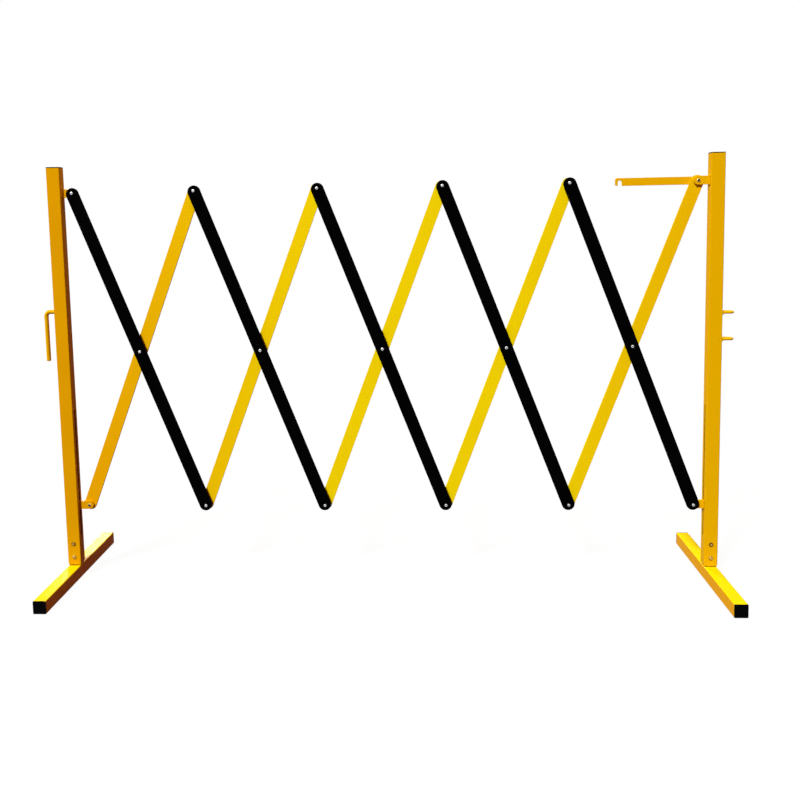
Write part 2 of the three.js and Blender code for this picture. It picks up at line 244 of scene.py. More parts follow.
def plate(outline, holes, front, thickness, edge=PLATE_EDGE):
    """A plate in the X-Z plane with softly rounded edges, its front face at the given depth."""
    curve = bpy.data.curves.new("outline", "CURVE")
    curve.dimensions = "2D"
    curve.fill_mode = "BOTH"
    curve.extrude = thickness / 2 - edge
    curve.bevel_depth = edge
    curve.bevel_resolution = EDGE_STEPS
    curve.offset = -edge
    for points in [outline, *holes]:
        spline = curve.splines.new("POLY")
        spline.points.add(len(points) - 1)
        for spot, (x, z) in zip(spline.points, points):
            spot.co = (x, z, 0, 1)
        spline.use_cyclic_u = True
    drawn = bpy.data.objects.new("outline", curve)
    raw = bpy.data.meshes.new_from_object(drawn)
    bpy.data.objects.remove(drawn)
    work = bmesh.new()
    work.from_mesh(raw)
    mesh = finished(work)
    middle = Matrix.Translation((0, front + thickness / 2, 0))
    mesh.transform(middle @ turn_about("X", QUARTER_TURN))
    return mesh


def rounded(centres, radius):
    """A rectangle's outline about its four corner centres, given in the order of CORNER_SIGNS."""
    outline = []
    for quarter, centre in enumerate(centres):
        start = quarter * QUARTER_TURN
        outline += arc(centre, radius, start, start + QUARTER_TURN, CORNER_STEPS)
    return outline


def box_ring(section, radius, height):
    """A rounded rectangle of a width and depth, at a height on Z."""
    reach_x, reach_y = (side / 2 - radius for side in section)
    centres = [(sign_x * reach_x, sign_y * reach_y) for sign_x, sign_y in CORNER_SIGNS]
    return [Vector((x, y, height)) for x, y in rounded(centres, radius)]


def inside(section, margin):
    """What is left of a section once a margin is taken off all round."""
    return tuple(side - 2 * margin for side in section)


def box_tube(section, bottom, top, foot=TUBE_END_EDGE):
    """An upright box-section tube with eased end edges, and one more ring of points above its foot."""
    bore, bore_corner = inside(section, TUBE_WALL), TUBE_CORNER - TUBE_WALL
    edge = TUBE_END_EDGE
    rings = [
        box_ring(section, TUBE_CORNER, bottom + edge),
        box_ring(inside(section, edge), TUBE_CORNER - edge, bottom),
        box_ring(bore, bore_corner, bottom),
        box_ring(bore, bore_corner, top),
        box_ring(inside(section, edge), TUBE_CORNER - edge, top),
        box_ring(section, TUBE_CORNER, top - edge),
        box_ring(section, TUBE_CORNER, bottom + edge + foot),
    ]
    return loft(rings, closed=True)


def combined(mesh, operation, *tools):
    """The mesh cut by, or kept inside, other meshes."""
    base = bpy.data.objects.new("base", mesh)
    bpy.context.scene.collection.objects.link(base)
    helpers = []
    for tool in tools:
        helper = bpy.data.objects.new("tool", tool)
        bpy.context.scene.collection.objects.link(helper)
        helpers.append(helper)
        modifier = base.modifiers.new("combine", "BOOLEAN")
        modifier.operation = operation
        modifier.solver = "EXACT"
        modifier.object = helper
    graph = bpy.context.evaluated_depsgraph_get()
    graph.update()
    result = bpy.data.meshes.new_from_object(base.evaluated_get(graph))
    for used in [base, *helpers]:
        bpy.data.objects.remove(used)
    return result


def rod(path, radius, closed=False, radius_at=None, sides=ROD_SIDES):
    """A round rod along a path in space, whose radius may vary with the place along it."""
    count = len(path)
    rings = []
    side = None
    for i, point in enumerate(path):
        before = path[i - 1] if i or closed else point
        after = path[(i + 1) % count] if i + 1 < count or closed else point
        along = (after - before).normalized()
        if side is None:
            side = along.orthogonal().normalized()
        side = (side - along * side.dot(along)).normalized()
        other = along.cross(side)
        size = radius_at(i) if radius_at else radius
        turns = [math.tau * k / sides for k in range(sides)]
        rings.append([point + size * (math.cos(turn) * side + math.sin(turn) * other) for turn in turns])
    return loft(rings, closed)


def spaced(path, step):
    """The same closed path with points about one step apart."""
    points = []
    for start, end in zip(path, path[1:] + path[:1]):
        parts = max(1, round((end - start).length / step))
        points += [start.lerp(end, k / parts) for k in range(parts)]
    return points


def weld_bead(path):
    """A rippled bead along a closed path."""
    points = spaced(path, BEAD_STEP)
    length = sum((b - a).length for a, b in zip(points, points[1:] + points[:1]))
    ripples = round(length / BEAD_PITCH)

    def size(i):
        share = i / len(points)
        return BEAD_RADIUS * (1 + BEAD_RIPPLE_SHARE * math.cos(math.tau * ripples * share))

    mesh = rod(points, BEAD_RADIUS, closed=True, radius_at=size, sides=BEAD_SIDES)
    # Weld beads take the second shade in full: painted lighter, as painted light.
    mark_painted_shading(mesh)
    return mesh


# Materials: the patterns and colours that they are made of. A scale is features per metre.
class Pattern(NamedTuple):
    """Noise, the part of its range that counts, and the values that this part is spread over."""

    scale: float
    low: float
    high: float
    detail: float = 2.0
    roughness: float = 0.5
    to_low: float = 0.0
    to_high: float = 1.0


class Grain(NamedTuple):
    """Fine relief on a surface."""

    scale: float
    detail: float
    distance: float
    strength: float


PAINT_DRIFT = Pattern(scale=7.0, low=0.3, high=0.7, detail=3.0)
PAINT_MOTTLE = Pattern(scale=260.0, low=0.35, high=0.65)
PAINT_THINNING = Pattern(scale=90.0, low=0.35, high=0.7, to_high=0.5)
# The next pattern breaks up the painted shade and grime on the posts.
PAINT_SHADE_AND_GRIME = Pattern(scale=180.0, low=0.3, high=0.6, to_low=0.7)
PAINT_CHIPS = Pattern(scale=520.0, low=0.66, high=0.7, detail=4.0, roughness=0.7)
PAINT_CHIP_AREAS = Pattern(scale=38.0, low=0.5, high=0.62)
PAINT_GLOSS = Pattern(scale=45.0, low=0.3, high=0.7, detail=3.0, to_low=0.16, to_high=0.26)
PAINT_PEEL = Grain(scale=420.0, detail=2.0, distance=0.03 * MM, strength=0.3)
PAINT_GRAIN = Grain(scale=1500.0, detail=1.0, distance=0.01 * MM, strength=0.3)
PAINT_SPECULAR = 0.005
MOTTLE_LEVEL = 0.96
THIN_LEVEL = 0.8
CHIP_DEPTH = 0.08 * MM
CHIP_STRENGTH = 0.6

BLACK_DRIFT = Pattern(scale=12.0, low=0.3, high=0.7, detail=3.0)
BLACK_SCUFFS = Pattern(scale=700.0, low=0.62, high=0.7, detail=3.0, roughness=0.6, to_high=0.5)
BLACK_SCUFF_AREAS = Pattern(scale=22.0, low=0.52, high=0.62)
BLACK_CHIPS = Pattern(scale=480.0, low=0.64, high=0.7, detail=4.0, roughness=0.7)
BLACK_CHIP_AREAS = Pattern(scale=30.0, low=0.52, high=0.62)
BLACK_GLOSS = Pattern(scale=60.0, low=0.3, high=0.7, detail=3.0, to_low=0.42, to_high=0.56)
BLACK_PEEL = Grain(scale=480.0, detail=2.0, distance=0.03 * MM, strength=0.3)
BLACK_GRAIN = Grain(scale=1700.0, detail=1.0, distance=0.03 * MM, strength=0.3)
BLACK_SPECULAR = 0.006

PLASTIC_DRIFT = Pattern(scale=60.0, low=0.3, high=0.7, detail=3.0)
PLASTIC_GLOSS = Pattern(scale=900.0, low=0.3, high=0.7, to_low=0.5, to_high=0.66)
PLASTIC_PITS = Grain(scale=1600.0, detail=0, distance=0.05 * MM, strength=0.5)
PLASTIC_GRAIN = Grain(scale=2600.0, detail=1.0, distance=0.03 * MM, strength=0.4)
PLASTIC_SPECULAR = 0.015

ZINC_SPANGLE = Pattern(scale=650.0, low=0.35, high=0.65, detail=3.0)
ZINC_DULLING = Pattern(scale=190.0, low=0.5, high=0.75, detail=3.0, to_high=0.5)
# The next pattern breaks up the tarnish and painted shade round screw heads.
ZINC_TARNISH_AND_SHADE = Pattern(scale=330.0, low=0.3, high=0.7, detail=3.0, to_low=0.85)
ZINC_GLOSS = Pattern(scale=800.0, low=0.3, high=0.7, to_low=0.40, to_high=0.55)
ZINC_GRAIN = Grain(scale=1400.0, detail=2.0, distance=0.03 * MM, strength=0.35)

# AMBER is the yellow coat painted darker and more orange: painted shade for the dimmer light at the posts and
# brackets.
AMBER = (0.72, 0.370, 0.0004)
AMBER_DEEP = (0.69, 0.350, 0.0004)
# Next, painted light: a lighter, yellower copy of the amber coat for the right post, the right brackets, the
# link pin, the link eyes and the weld beads.
AMBER_LIT = (0.76, 0.445, 0.0004)
YELLOW = (0.86, 0.700, 0.0016)
YELLOW_DEEP = (0.84, 0.675, 0.0016)
# Next, painted shade: a darker, redder copy of the yellow coat for the bar ends, the hook and the feet's
# sides.
YELLOW_WARM = (0.78, 0.400, 0.0006)
PRIMER = (0.32, 0.29, 0.24)
# Dark brown of painted shade with some grime: the contact shadow at each post's foot and the shade inside the
# tubes.
SHADE_AND_GRIME = (0.13, 0.05, 0.0006)
BLACK = (0.0004, 0.0004, 0.0005)
BLACK_FADED = (0.0009, 0.0009, 0.0010)
BLACK_SCUFFED = (0.02, 0.02, 0.02)
BARE_STEEL = (0.16, 0.16, 0.165)
PLASTIC = (0.0006, 0.0006, 0.0007)
PLASTIC_FADED = (0.0012, 0.0012, 0.0013)
ZINC = (0.50, 0.505, 0.51)
ZINC_BRIGHT = (0.64, 0.645, 0.65)
ZINC_DULL = (0.36, 0.355, 0.34)
PASSIVATED = (0.74, 0.50, 0.13)
# Brown tarnish with painted shade, round the rims of the screw heads.
TARNISH_AND_SHADE = (0.07, 0.022, 0.001)
# Painted shade with a little dirt in hollows and recesses, and the painted dark reflection on head rims.
HEAD_SHADE_AND_DIRT = (0.012, 0.008, 0.005)


class Shader:
    """A node material under construction."""

    def __init__(self, name):
        self.material = bpy.data.materials.new(name)
        self.material.use_nodes = True
        self.tree = self.material.node_tree
        self.surface = self.tree.nodes["Principled BSDF"]
        self.place = self.add("ShaderNodeTexCoord").outputs["Object"]

    def add(self, kind, **settings):
        node = self.tree.nodes.new(kind)
        for key, value in settings.items():
            setattr(node, key, value)
        return node

    def link(self, source, target):
        self.tree.links.new(source, target)

    def noise(self, scale, detail, roughness=0.5):
        node = self.add("ShaderNodeTexNoise")
        node.inputs["Scale"].default_value = scale
        node.inputs["Detail"].default_value = detail
        node.inputs["Roughness"].default_value = roughness
        self.link(self.place, node.inputs["Vector"])
        return node.outputs["Fac"]

    def pattern(self, chosen):
        """A pattern's value at each place, smoothed at the ends of its range."""
        node = self.add("ShaderNodeMapRange", interpolation_type="SMOOTHSTEP")
        limits = {
            "From Min": chosen.low,
            "From Max": chosen.high,
            "To Min": chosen.to_low,
            "To Max": chosen.to_high,
        }
        for name, limit in limits.items():
            node.inputs[name].default_value = limit
        self.link(self.noise(chosen.scale, chosen.detail, chosen.roughness), node.inputs["Value"])
        return node.outputs["Result"]

    def grain(self, chosen):
        """A bump layer of fine noise."""
        return self.noise(chosen.scale, chosen.detail), chosen.distance, chosen.strength

    def pits(self, chosen):
        """A bump layer of small round cells."""
        node = self.add("ShaderNodeTexVoronoi")
        node.inputs["Scale"].default_value = chosen.scale
        self.link(self.place, node.inputs["Vector"])
        return node.outputs["Distance"], chosen.distance, chosen.strength

    def math(self, operation, first, second):
        node = self.add("ShaderNodeMath", operation=operation)
        for socket, value in zip(node.inputs, (first, second)):
            if isinstance(value, (int, float)):
                socket.default_value = value
            else:
                self.link(value, socket)
        return node.outputs["Value"]

    def product(self, first, second):
        return self.math("MULTIPLY", first, second)

    def mixed(self, share, first, second, blend="MIX"):
        node = self.add("ShaderNodeMix", data_type="RGBA", blend_type=blend)
        self.link(share, node.inputs["Factor"])
        for socket, value in zip([s for s in node.inputs if s.type == "RGBA"], (first, second)):
            if isinstance(value, tuple):
                socket.default_value = (*value, 1)
            else:
                self.link(value, socket)
        return next(s for s in node.outputs if s.type == "RGBA")

    def dimmed(self, share, colour, level):
        """The colour, dimmed to a level by a share."""
        return self.mixed(share, colour, (level, level, level), "MULTIPLY")

    def attribute(self, name):
        node = self.add("ShaderNodeAttribute", attribute_name=name)
        return node.outputs["Fac"]

    def bump(self, *layers):
        """Bump from (height, distance, strength) layers, finest last."""
        normal = None
        for height, distance, strength in layers:
            node = self.add("ShaderNodeBump")
            node.inputs["Distance"].default_value = distance
            node.inputs["Strength"].default_value = strength
            self.link(height, node.inputs["Height"])
            if normal:
                self.link(normal, node.inputs["Normal"])
            normal = node.outputs["Normal"]
        self.link(normal, self.surface.inputs["Normal"])

    def finish(self, body, gloss, specular=None):
        """Sets the surface's colour, its roughness and, if given, how much it mirrors."""
        self.link(body, self.surface.inputs["Base Color"])
        self.link(self.pattern(gloss), self.surface.inputs["Roughness"])
        if specular is not None:
            self.surface.inputs["Specular IOR Level"].default_value = specular


def paint(name, colour, deep_colour, second_colour):
    """Glossy powder coat: soft colour drift, orange peel, thin edges and a few small chips on them."""
    shader = Shader(name)
    body = shader.mixed(shader.pattern(PAINT_DRIFT), colour, deep_colour)
    # The second shade is painted light on the amber coat and painted shade on the yellow coat.
    body = shader.mixed(shader.attribute("painted_shading"), body, second_colour)
    body = shader.dimmed(shader.pattern(PAINT_MOTTLE), body, MOTTLE_LEVEL)
    rim = shader.attribute("rim")
    body = shader.dimmed(shader.product(rim, shader.pattern(PAINT_THINNING)), body, THIN_LEVEL)
    # Painted shade with some grime: a contact shadow at the foot of the posts and shade inside the tubes.
    shade_and_grime = shader.product(shader.attribute("shade_and_grime"), shader.pattern(PAINT_SHADE_AND_GRIME))
    body = shader.mixed(shade_and_grime, body, SHADE_AND_GRIME)
    chips = shader.product(shader.pattern(PAINT_CHIPS), shader.pattern(PAINT_CHIP_AREAS))
    chips = shader.product(chips, rim)
    body = shader.mixed(chips, body, PRIMER)
    shader.finish(body, PAINT_GLOSS, PAINT_SPECULAR)
    shader.bump(
        shader.grain(PAINT_PEEL),
        shader.grain(PAINT_GRAIN),
        (shader.math("SUBTRACT", 1.0, chips), CHIP_DEPTH, CHIP_STRENGTH),
    )
    return shader.material


def black_coat():
    """Satin black coat on the front bars, with faint scuffs and slightly worn edges."""
    shader = Shader("black_coat")
    body = shader.mixed(shader.pattern(BLACK_DRIFT), BLACK, BLACK_FADED)
    scuffs = shader.product(shader.pattern(BLACK_SCUFFS), shader.pattern(BLACK_SCUFF_AREAS))
    body = shader.mixed(scuffs, body, BLACK_SCUFFED)
    chips = shader.product(shader.pattern(BLACK_CHIPS), shader.pattern(BLACK_CHIP_AREAS))
    body = shader.mixed(shader.product(chips, shader.attribute("rim")), body, BARE_STEEL)
    shader.finish(body, BLACK_GLOSS, BLACK_SPECULAR)
    shader.bump(shader.grain(BLACK_PEEL), shader.grain(BLACK_GRAIN))
    return shader.material


def black_plastic():
    """Moulded plastic with a fine spark-eroded grain."""
    shader = Shader("black_plastic")
    body = shader.mixed(shader.pattern(PLASTIC_DRIFT), PLASTIC, PLASTIC_FADED)
    shader.finish(body, PLASTIC_GLOSS, PLASTIC_SPECULAR)
    shader.bump(shader.pits(PLASTIC_PITS), shader.grain(PLASTIC_GRAIN))
    return shader.material


def zinc():
    """Zinc-plated steel, a little dulled: yellow on some pieces, brown tarnish with painted shade round screw
    heads, painted shade with a little dirt down in its hollows and a painted dark reflection on head rims.
    """
    shader = Shader("zinc")
    body = shader.mixed(shader.pattern(ZINC_SPANGLE), ZINC, ZINC_BRIGHT)
    body = shader.mixed(shader.pattern(ZINC_DULLING), body, ZINC_DULL)
    body = shader.mixed(shader.attribute("passivated"), body, PASSIVATED)
    # Brown tarnish with painted shade round the rims of the screw heads.
    tarnish_and_shade = shader.product(shader.attribute("tarnish_and_shade"), shader.pattern(ZINC_TARNISH_AND_SHADE))
    body = shader.mixed(tarnish_and_shade, body, TARNISH_AND_SHADE)
    # Painted shade with a little dirt in hollows and recesses, and a painted dark reflection on head rims.
    body = shader.mixed(shader.attribute("hollow"), body, HEAD_SHADE_AND_DIRT)
    shader.surface.inputs["Metallic"].default_value = 1.0
    shader.finish(body, ZINC_GLOSS)
    shader.bump(shader.grain(ZINC_GRAIN))
    return shader.material


materials = {
    # The amber coat is a darker copy of the yellow coat: painted shade for the dimmer light at the ends of
    # the barricade.
    "amber_paint": paint("amber_coat", AMBER, AMBER_DEEP, AMBER_LIT),
    "yellow_paint": paint("yellow_coat", YELLOW, YELLOW_DEEP, YELLOW_WARM),
    "black_paint": black_coat(),
    "black_plastic": black_plastic(),
    "zinc": zinc(),
}


# Marks that the materials read. A rounded edge leans away from a flat axis by between these two.
RIM_LOW = 0.12
RIM_HIGH = 0.985

# The painted shade on the yellow bars, darker and warmer towards their outer ends where less light falls: its
# middle, where it starts and how far it takes to grow full.
WARM_CENTRE = 0.1
WARM_FROM = 0.30
WARM_RANGE = 0.50

# Shares of a mark on a whole piece, or on a part of one.
# Shares of the darker, warmer painted shade on the hook and on the feet's tops.
HOOK_SHARE = 0.85
FOOT_TOP_SHARE = 0.15
SOCKET_YELLOW_SHARE = 0.7
SCREW_YELLOW_SHARE = 1.0
# Shares of brown tarnish with painted shade round the screw heads' rims.
SCREW_TARNISH_AND_SHADE_SHARES = {"lower": 0.55, "upper": 1.0}
# Shares of the painted dark reflection on head rims, and of painted shade with a little dirt in screw
# recesses.
HEAD_RIM_REFLECTION_SHARE = 0.92
SOCKET_RIM_REFLECTION_SHARE = 0.15
RECESS_SHADE_AND_DIRT_SHARE = 0.1


def mark_rims(mesh, flat_axes):
    """Gives 1 to the faces of the rounded edges: those that lean away from every flat axis."""
    marks = mesh.attributes.new("rim", "FLOAT", "FACE")
    for face, mark in zip(mesh.polygons, marks.data):
        leans = [abs(face.normal[axis]) for axis in flat_axes]
        mark.value = float(all(RIM_LOW < lean < RIM_HIGH for lean in leans))


def in_hollow(point, radius, top, bottom):
    """1 for a point that lies near a head's axis, between two depths."""
    return float(math.hypot(point.x, point.z) < radius and top < point.y < bottom)


def mark_points(mesh, name, share_at):
    """Gives each point a share between 0 and 1 that follows from its place."""
    marks = mesh.attributes.new(name, "FLOAT", "POINT")
    for vertex, mark in zip(mesh.vertices, marks.data):
        mark.value = max(0.0, min(1.0, share_at(vertex.co)))


def mark_painted_shading(mesh, share=1.0):
    """Gives a whole piece its share of the coat's second shade: painted light on the amber coat, painted
    shade on the yellow coat.
    """
    mark_points(mesh, "painted_shading", lambda point: share)


def mark_finish(mesh, yellow, tarnish_and_shade, bright_radius=0.0):
    """Gives a zinc-plated piece its shares of yellow and, outside its middle, of brown tarnish with painted
    shade.
    """

    def tarnish_and_shade_at(point):
        return tarnish_and_shade * (math.hypot(point.x, point.z) >= bright_radius)

    mark_points(mesh, "passivated", lambda point: yellow)
    mark_points(mesh, "tarnish_and_shade", tarnish_and_shade_at)


def mark_painted_shading_along(mesh, place):
    """Gives a bar more painted shade, darker and warmer, the further it lies from the middle of the
    barricade.
    """

    def share_at(point):
        return (abs((place @ point).x - WARM_CENTRE) - WARM_FROM) / WARM_RANGE

    mark_points(mesh, "painted_shading", share_at)


def body_of_node(node):
    return frame["nodes"][node]["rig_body"]


SLOT_OF_NODE = {part["node"]: part["material_slot"] for part in frame["record"]["subparts"]}


def add_piece(node, mesh, place=None, name=None, replaced=True):
    """Adds a mesh as a piece on the body of a CAD node, with that node's finish, in its place if asked."""
    if place:
        mesh.transform(place)
    piece = bpy.data.objects.new(name or f"{node}_fine", mesh)
    bpy.context.scene.collection.objects.link(piece)
    mesh.materials.clear()
    mesh.materials.append(materials[SLOT_OF_NODE[node]])
    mesh.shade_smooth()
    mesh.set_sharp_from_angle(angle=SHARP_ANGLE)
    weighted = piece.modifiers.new("weighted_normals", "WEIGHTED_NORMAL")
    weighted.keep_sharp = True
    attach(piece, body_of_node(node))
    if replaced:
        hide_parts(node)


# Tubes, caps and screws.
def cap_mesh(section):
    """A moulded plug cap: its flange stands on Z = 0 and its plug hangs below."""
    edge = CAP_EDGE
    plug = inside(section, TUBE_WALL + CAP_PLUG_GAP)
    plug_corner = TUBE_CORNER - TUBE_WALL
    rings = [
        box_ring(inside(plug, edge), plug_corner, -CAP_PLUG_DEPTH),
        box_ring(plug, plug_corner, -CAP_PLUG_DEPTH + edge),
        box_ring(plug, plug_corner, 0),
        box_ring(inside(section, edge / 4), TUBE_CORNER, 0),
        box_ring(section, TUBE_CORNER, edge / 2),
    ]
    for inset, rise in arc((edge, 0), edge, HALF_TURN, QUARTER_TURN, 2 * EDGE_STEPS):
        corner = max(TUBE_CORNER - inset, edge)
        rings.append(box_ring(inside(section, inset), corner, CAP_FLANGE - edge + rise))
    gate = (CAP_GATE, CAP_GATE)
    floor = CAP_FLANGE - CAP_DISH
    rings.append(box_ring(inside(section, CAP_RIM), TUBE_CORNER, CAP_FLANGE))
    rings.append(box_ring(inside(section, CAP_RIM + CAP_DISH), TUBE_CORNER, floor))
    rings.append(box_ring(gate, CAP_GATE / 2, floor))
    rings.append(box_ring(inside(gate, CAP_DISH), CAP_GATE / 2 - CAP_DISH, floor - CAP_DISH))
    mesh = loft(rings)
    mark_rims(mesh, TUBE_FLAT_AXES)
    return mesh


def add_foot(side):
    low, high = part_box(f"foot_tube_{side}")
    centre = (low + high) / 2
    length = high.y - low.y
    width = high.x - low.x
    tube = box_tube((width, high.z - low.z), -length / 2, length / 2)
    mark_rims(tube, TUBE_FLAT_AXES)

    # Painted shade: the foot's side faces take the darker, redder second shade in full, its top only a
    # little.
    def painted_shading_at(point):
        return 1 if abs(point.x) > width / 2 - TUBE_END_EDGE else FOOT_TOP_SHARE

    mark_points(tube, "painted_shading", painted_shading_at)
    add_piece(f"foot_tube_{side}", tube, Matrix.Translation(centre) @ turn_about("X", QUARTER_TURN))
    for end, turn in (("front", QUARTER_TURN), ("back", -QUARTER_TURN)):
        node = f"foot_cap_{side}_{end}"
        cap_low, cap_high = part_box(node)
        face = cap_low.y + CAP_FLANGE if end == "front" else cap_high.y - CAP_FLANGE
        place = Matrix.Translation((centre.x, face, centre.z)) @ turn_about("X", turn)
        add_piece(node, cap_mesh((cap_high.x - cap_low.x, cap_high.z - cap_low.z)), place)


def post_outline(half, bottom, top):
    """The post seen from the front, wide of the tube at its sides, with its lower corners rounded."""
    wide = half + TUBE_WALL
    reach = half - POST_END_CORNER
    rise = bottom + POST_END_CORNER
    right = arc((reach, rise), POST_END_CORNER, THREE_QUARTER_TURN, WHOLE_TURN, CORNER_STEPS)
    left = arc((-reach, rise), POST_END_CORNER, HALF_TURN, THREE_QUARTER_TURN, CORNER_STEPS)
    above = rise + POST_END_CORNER
    return [*right, (wide, above), (wide, top), (-wide, top), (-wide, above), *left]


def slot_cutter(side, half):
    """What cuts the slot out of a post's inner wall."""
    slot_half = size_of("top_bracket_left").y / 2 + SLOT_PLAY
    across = slot_half - SLOT_END
    below, above = SLOT_BOTTOM + SLOT_END, SLOT_TOP - SLOT_END
    centres = ((across, above), (-across, above), (-across, below), (across, below))
    slot = plate(rounded(centres, SLOT_END), [], -SLOT_CUT, 2 * SLOT_CUT, CUTTER_EDGE)
    turn = turn_about("Z", QUARTER_TURN)
    slot.transform(Matrix.Translation((INWARD[side] * half, 0, 0)) @ turn)
    return slot


def screw_hole_cutter(side, place, depth):
    """What cuts one of the screw holes out of a post's front wall."""
    front, back = -(depth / 2 + SLOT_CUT), -depth * SCREW_HOLE_DEPTH_SHARE
    radius = SCREW_HOLE / 2
    hole = turned([(0, front), (radius, front), (radius, back), (0, back)])
    hole.transform(Matrix.Translation((0, 0, centre_of(f"foot_screw_{side}_{place}").z)))
    return hole


def post_mesh(side, low, high):
    """A post tube about its own axis, with its slot, screw holes and rounded lower corners."""
    width, depth = high.x - low.x, high.y - low.y
    half = width / 2
    tube = box_tube((width, depth), low.z, high.z, SHADE_AND_GRIME_HEIGHT)
    holes = [screw_hole_cutter(side, place, depth) for place in ("lower", "upper")]
    outline = post_outline(half, low.z, high.z + TUBE_WALL)
    silhouette = plate(outline, [], -width, 2 * width, CUTTER_EDGE)
    cut = combined(tube, "DIFFERENCE", slot_cutter(side, half), *holes)
    mesh = combined(cut, "INTERSECT", silhouette)
    mark_rims(mesh, TUBE_FLAT_AXES)
    half_bore = inside((half, depth / 2), TUBE_WALL / 2)

    # Painted shade, partly bare inner wall: dark all over inside the tube, and a contact shadow with some
    # grime, darker towards the bottom.
    def shade_and_grime_at(point):
        reaches = zip((point.x, point.y), half_bore)
        in_bore = all(abs(place) < reach + SURFACE_GAP for place, reach in reaches)
        return 1 if in_bore else 1 - (point.z - low.z - TUBE_END_EDGE) / SHADE_AND_GRIME_HEIGHT

    mark_points(mesh, "shade_and_grime", shade_and_grime_at)
    return mesh


def recess_arm(turn):
    """One tapered arm of the cross in a screw's head, its open end towards -Y."""
    wide, narrow = RECESS_LENGTH / 2, RECESS_LENGTH * RECESS_TAPER_SHARE
    ends = ((wide, -RECESS_DEPTH, RECESS_WIDTH), (narrow, RECESS_DEPTH, RECESS_WIDTH / 2))
    rings = []
    for reach, depth, thick in ends:
        corners = [(sign_x * reach, sign_z * thick / 2) for sign_x, sign_z in CORNER_SIGNS]
        rings.append([Vector((x, depth, z)) for x, z in corners])
    mesh = loft(rings)
    mesh.transform(turn_about("Y", turn))
    return mesh


def dome(radius, height, rim, base, start_radius=0.0):
    """(radius, depth) pairs of a dome, from near its crown to its base at the given depth."""
    first = math.asin(start_radius / radius)
    points = []
    for i in range(DOME_STEPS + 1):
        turn = first + (math.pi / 2 - first) * i / DOME_STEPS
        points.append((radius * math.sin(turn), base - rim - (height - rim) * math.cos(turn)))
    return [*points, (radius, base)]


def screw_mesh(under, end):
    head = dome(SCREW_RADIUS, HEAD_HEIGHT, HEAD_RIM, under)
    crown = head[0][1]
    body = turned([*head, (SCREW_SHAFT, under), (SCREW_SHAFT, end), (0, end)])
    arms = [recess_arm(turn) for turn in (0, QUARTER_TURN)]
    for arm in arms:
        arm.transform(Matrix.Translation((0, crown, 0)))
    mesh = combined(body, "DIFFERENCE", *arms)
    depth_of_dark = crown + RECESS_DEPTH / 2

    # Painted shade with a little dirt down in the cross recess.
    def recess_shade_at(point):
        return RECESS_SHADE_AND_DIRT_SHARE * in_hollow(point, RECESS_LENGTH / 2, depth_of_dark, under)

    mark_points(mesh, "hollow", recess_shade_at)
    return mesh


def add_post(side):
    low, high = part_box(f"post_tube_{side}")
    axis = Matrix.Translation(((low.x + high.x) / 2, 0, 0))
    tube = post_mesh(side, low, high)
    if side == "right":
        # The right post takes the second shade in full: painted lighter, as painted light.
        mark_painted_shading(tube)
    add_piece(f"post_tube_{side}", tube, axis)
    cap_low, cap_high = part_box(f"post_cap_{side}")
    cap_place = axis @ Matrix.Translation((0, 0, cap_high.z - CAP_FLANGE))
    add_piece(f"post_cap_{side}", cap_mesh((cap_high.x - cap_low.x, cap_high.y - cap_low.y)), cap_place)
    for place in ("lower", "upper"):
        node = f"foot_screw_{side}_{place}"
        screw_low, screw_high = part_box(node)
        under = low.y - SURFACE_GAP
        spin = turn_about("Y", SCREW_TURNS[place])
        centre = centre_of(node)
        mesh = screw_mesh(under, screw_high.y)
        # Yellow zinc, with tarnish and painted shade round the head's rim.
        mark_finish(mesh, SCREW_YELLOW_SHARE, SCREW_TARNISH_AND_SHADE_SHARES[place], SCREW_BRIGHT_RADIUS)
        add_piece(node, mesh, Matrix.Translation((centre.x, 0, centre.z)) @ spin)


# Brackets and the weld beads at their roots.
def bracket_mesh(straight_end, front, thickness):
    radius = BRACKET_HEIGHT / 2
    toward = math.copysign(1, straight_end)
    start = QUARTER_TURN * toward
    outline = [(straight_end, -toward * radius), (straight_end, toward * radius)]
    outline += arc((0, 0), radius, start, start + HALF_TURN)
    mesh = plate(outline, [circle((0, 0), HOLE_RADIUS)], front, thickness)
    mark_rims(mesh, PLATE_FLAT_AXES)
    return mesh


def add_bracket(kind, side):
    node = f"{kind}_bracket_{side}"
    low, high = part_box(node)
    pivot_x = high.x - BRACKET_HEIGHT / 2 if side == "left" else low.x + BRACKET_HEIGHT / 2
    straight_end = (low.x if side == "left" else high.x) - pivot_x
    place = Matrix.Translation((pivot_x, 0, (low.z + high.z) / 2))
    mesh = bracket_mesh(straight_end, low.y, high.y - low.y)
    if side == "right":
        # The right-hand brackets take the second shade in full: painted lighter, as painted light.
        mark_painted_shading(mesh)
    add_piece(node, mesh, place)


def bracket_weld(side):
    """The bead round the top bracket where it meets the post."""
    node = f"top_bracket_{side}"
    low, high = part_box(node)
    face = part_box(f"post_tube_{side}")[1 if side == "left" else 0].x
    sink = BEAD_RADIUS * BEAD_SINK_SHARE
    half_y = (high.y - low.y) / 2 + BEAD_RADIUS - sink
    half_z = (high.z - low.z) / 2 + BEAD_RADIUS - sink
    reach = INWARD[side] * (BEAD_RADIUS - sink)
    ring = box_ring((2 * half_y, 2 * half_z), BEAD_RADIUS, 0)
    centre_z = (low.z + high.z) / 2
    path = [Vector((face + reach, point.x, centre_z + point.y)) for point in ring]
    add_piece(node, weld_bead(path), name=f"{node}_weld", replaced=False)


